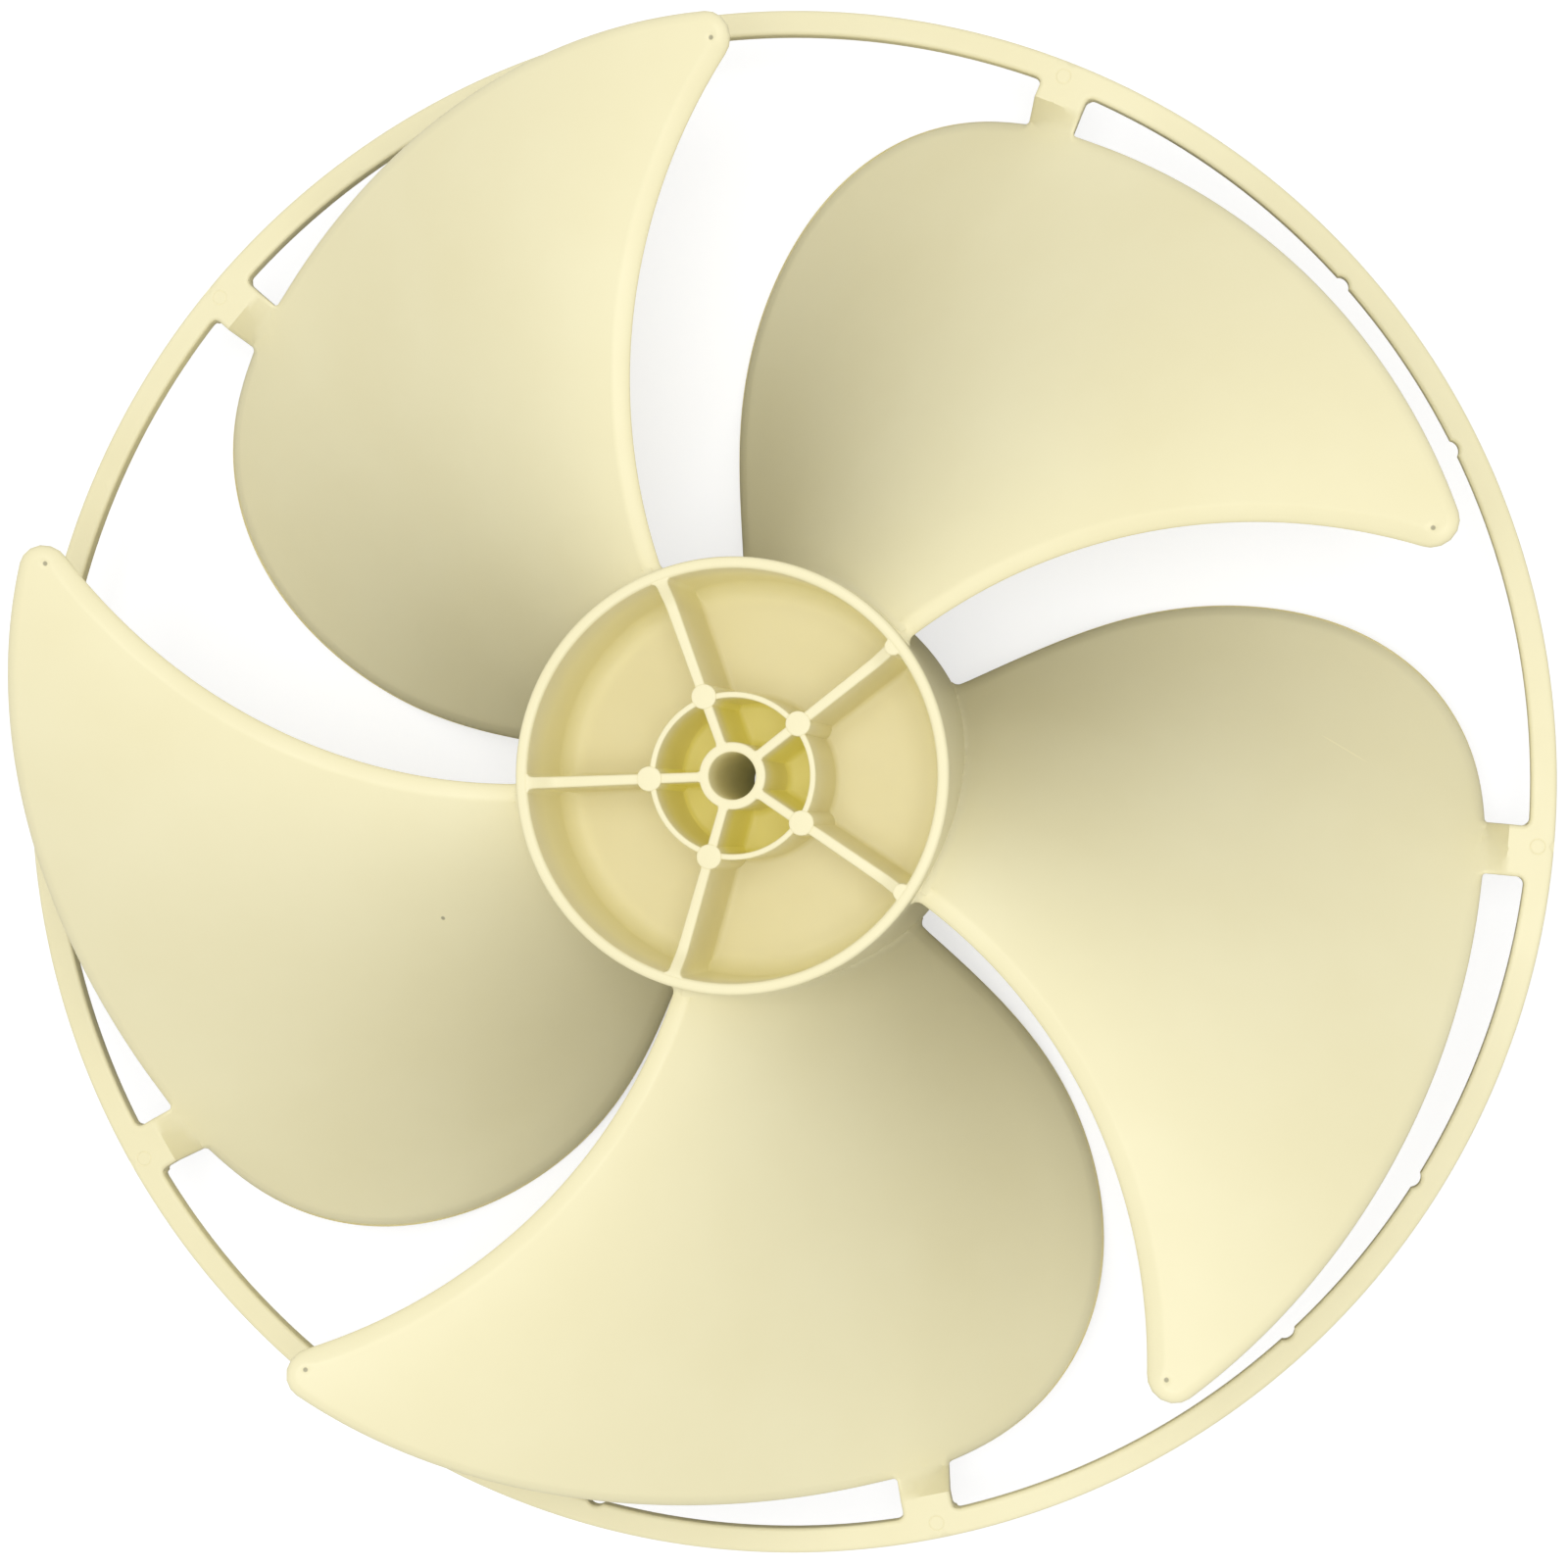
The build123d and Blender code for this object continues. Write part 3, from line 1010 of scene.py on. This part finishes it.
def cream_plastic():
    """Satin cream plastic: drifting colour, uneven gloss, fine grain, small marks, painted light and shade in
    the hub.
    """
    material = bpy.data.materials.new("cream_plastic")
    material.use_nodes = True
    tree = material.node_tree
    shader = tree.nodes["Principled BSDF"]
    place = node(tree, "ShaderNodeTexCoord", {}).outputs["Object"]
    split = node(tree, "ShaderNodeSeparateXYZ", {"Vector": place}).outputs
    plan = node(tree, "ShaderNodeCombineXYZ", {"X": split["X"], "Y": split["Y"]}).outputs["Vector"]
    radius = node(tree, "ShaderNodeVectorMath", {0: plan}, operation="LENGTH").outputs["Value"]
    scratch = scratch_mask(tree, plan)
    pocket, wall, bore = glow_masks(tree, radius, split["Z"])

    cream = marked_cream(tree, place, plan, scratch)
    # Painted shade: the base colour turns a deeper yellow in the pocket around the boss.
    painted_shade_tint = two_colours(tree, pocket, (1, 1, 1), pocket_painted_shade)
    cream_with_painted_shade = node(tree, "ShaderNodeVectorMath", {0: cream, 1: painted_shade_tint}, operation="MULTIPLY")
    tree.links.new(cream_with_painted_shade.outputs["Vector"], shader.inputs["Base Color"])

    # Painted light: a faint warm emission in the pocket, along the hub's wall and in the bore.
    glow = 0.0
    for mask, strength in ((pocket, pocket_glow), (wall, wall_glow), (bore, bore_glow)):
        glow = combined(tree, "MAXIMUM", glow, combined(tree, "MULTIPLY", mask, strength))
    light = two_colours(tree, pocket, wall_light, pocket_light)
    soaked = node(tree, "ShaderNodeVectorMath", {0: light, "Scale": glow}, operation="SCALE")
    tree.links.new(soaked.outputs["Vector"], shader.inputs["Emission Color"])
    shader.inputs["Emission Strength"].default_value = 1.0

    patches = node(tree, "ShaderNodeTexNoise", {"Vector": place, "Scale": 38.0, "Detail": 3.0})
    gloss = mapped(tree, patches.outputs["Fac"], *gloss_patches, smoothest, roughest)
    rubbed = combined(tree, "MULTIPLY", scratch, scratch_roughness)
    tree.links.new(combined(tree, "ADD", gloss, rubbed), shader.inputs["Roughness"])

    grain = node(tree, "ShaderNodeTexNoise", {"Vector": place, "Scale": 1500.0, "Detail": 2.0})
    inputs = {"Height": grain.outputs["Fac"], "Strength": 0.06, "Distance": 0.0002}
    tree.links.new(node(tree, "ShaderNodeBump", inputs).outputs["Normal"], shader.inputs["Normal"])

    shader.inputs["IOR"].default_value = 1.49
    return material


wheel.data.materials.clear()
wheel.data.materials.append(cream_plastic())
print("material", wheel.data.materials[0].name)

# %% [markdown]
# ## Floor
# The wheel lies on a plain white floor. For the camera and for reflections the floor adds some white of its
# own, so that the background is white while the shadow under the wheel still shows. Right under the wheel
# reflections see the floor as dark as its shadow is, which keeps the bore deep.

# %% Floor
floor_size = 6.0
shadow_core, shadow_end = 0.8, 1.6
paper_shade, seen_shade, seen_white = 0.1, 0.5, 0.62
floor_mesh = bpy.data.meshes.new("floor")
half = floor_size / 2
corners = [(-half, -half, 0), (half, -half, 0), (half, half, 0), (-half, half, 0)]
floor_mesh.from_pydata(corners, [], [(0, 1, 2, 3)])
floor = bpy.data.objects.new("floor", floor_mesh)
floor.location.z = wheel_low.z * MM
bpy.context.scene.collection.objects.link(floor)


def ray_kinds(tree):
    """Sockets that are 1 for the camera's own rays, and for mirrored rays and those let through."""
    rays = node(tree, "ShaderNodeLightPath", {}).outputs
    mirrored = combined(tree, "MAXIMUM", rays["Is Glossy Ray"], rays["Is Transmission Ray"])
    return rays["Is Camera Ray"], mirrored


paper = bpy.data.materials.new("white_paper")
paper.use_nodes = True
tree = paper.node_tree
shader = tree.nodes["Principled BSDF"]
place = node(tree, "ShaderNodeTexCoord", {}).outputs["Object"]
distance = node(tree, "ShaderNodeVectorMath", {0: place}, operation="LENGTH").outputs["Value"]
outside_shadow = mapped(tree, distance, shadow_core * ring_radius * MM, shadow_end * ring_radius * MM)
from_camera, mirrored = ray_kinds(tree)
seen = combined(tree, "MAXIMUM", from_camera, combined(tree, "MULTIPLY", mirrored, outside_shadow))
tree.links.new(mapped(tree, seen, 0, 1, paper_shade, seen_shade), shader.inputs["Base Color"])
tree.links.new(mapped(tree, seen, 0, 1, 0.0, seen_white), shader.inputs["Emission Strength"])
shader.inputs["Emission Color"].default_value = (1, 1, 1, 1)
shader.inputs["Roughness"].default_value = 0.9
floor_mesh.materials.append(paper)
print("floor at", round(floor.location.z / MM, 1), "mm")

# %% [markdown]
# ## Light
# The world is a pale room that is brighter overhead, which fills the shadows from all round, and a wide lamp
# above gives the soft front light of a product shot. A picture of a studio could light the wheel too, but
# two plain lights are easier to follow and to change. The camera and reflections see plain white in place of
# the room.

# %% Light
horizon_light, zenith_light = 0.66, 0.86
lamp_side, lamp_height, lamp_size, lamp_power = 0.15, 1.7, 0.8, 9.0
world = bpy.data.worlds.new("studio")
bpy.context.scene.world = world
world.use_nodes = True
tree = world.node_tree
direction = node(tree, "ShaderNodeTexCoord", {}).outputs["Generated"]
upward = node(tree, "ShaderNodeSeparateXYZ", {"Vector": direction}).outputs["Z"]
room = tree.nodes["Background"]
room.inputs["Color"].default_value = (1, 1, 1, 1)
tree.links.new(mapped(tree, upward, 0, 1, horizon_light, zenith_light), room.inputs["Strength"])
backdrop = node(tree, "ShaderNodeBackground", {"Color": (1, 1, 1, 1)})
seen = combined(tree, "MAXIMUM", *ray_kinds(tree))
inputs = {0: seen, 1: room.outputs["Background"], 2: backdrop.outputs["Background"]}
sky = node(tree, "ShaderNodeMixShader", inputs)
tree.links.new(sky.outputs["Shader"], tree.nodes["World Output"].inputs["Surface"])

softbox_data = bpy.data.lights.new("softbox", "AREA")
softbox_data.shape = "DISK"
softbox_data.size = lamp_size
softbox_data.energy = lamp_power
softbox = bpy.data.objects.new("softbox", softbox_data)
softbox.location = (lamp_side, 0, lamp_height)
bpy.context.scene.collection.objects.link(softbox)
print("softbox", lamp_size, "m wide at", lamp_height, "m")

# %% [markdown]
# ## Camera
# The camera stands where the photo was taken from, nearly above the wheel. Its place, aim and lens were
# fitted to the ring, the hub and points that repeat on the five blades, because shapes known to be round or
# evenly spaced show how a view is tilted. The lens is given as a share of the picture's width.

# %% Camera
camera_place = Vector((132.3, -8.3, 880.8)) * MM
camera_aim = Vector((-0.14625, 0.00821, -0.98921))
camera_up = Vector((-0.03405, 0.99933, 0.01333))
sensor_width, focal_share = 36.0, 3314 / 1600
camera_data = bpy.data.cameras.new("camera")
camera_data.sensor_width = sensor_width
camera_data.lens = sensor_width * focal_share
camera = bpy.data.objects.new("camera", camera_data)
right = camera_aim.cross(camera_up).normalized()
up = right.cross(camera_aim).normalized()
facing = Matrix((right, up, -camera_aim.normalized())).transposed().to_4x4()
camera.matrix_world = Matrix.Translation(camera_place) @ facing
bpy.context.scene.collection.objects.link(camera)
bpy.context.scene.camera = camera
bpy.context.scene.view_settings.view_transform = "Standard"
print("camera lens", round(camera_data.lens, 2), "mm")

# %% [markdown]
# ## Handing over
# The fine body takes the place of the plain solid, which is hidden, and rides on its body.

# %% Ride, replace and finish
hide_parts("fan_wheel")
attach(wheel, "root")
bpy.context.view_layer.update()
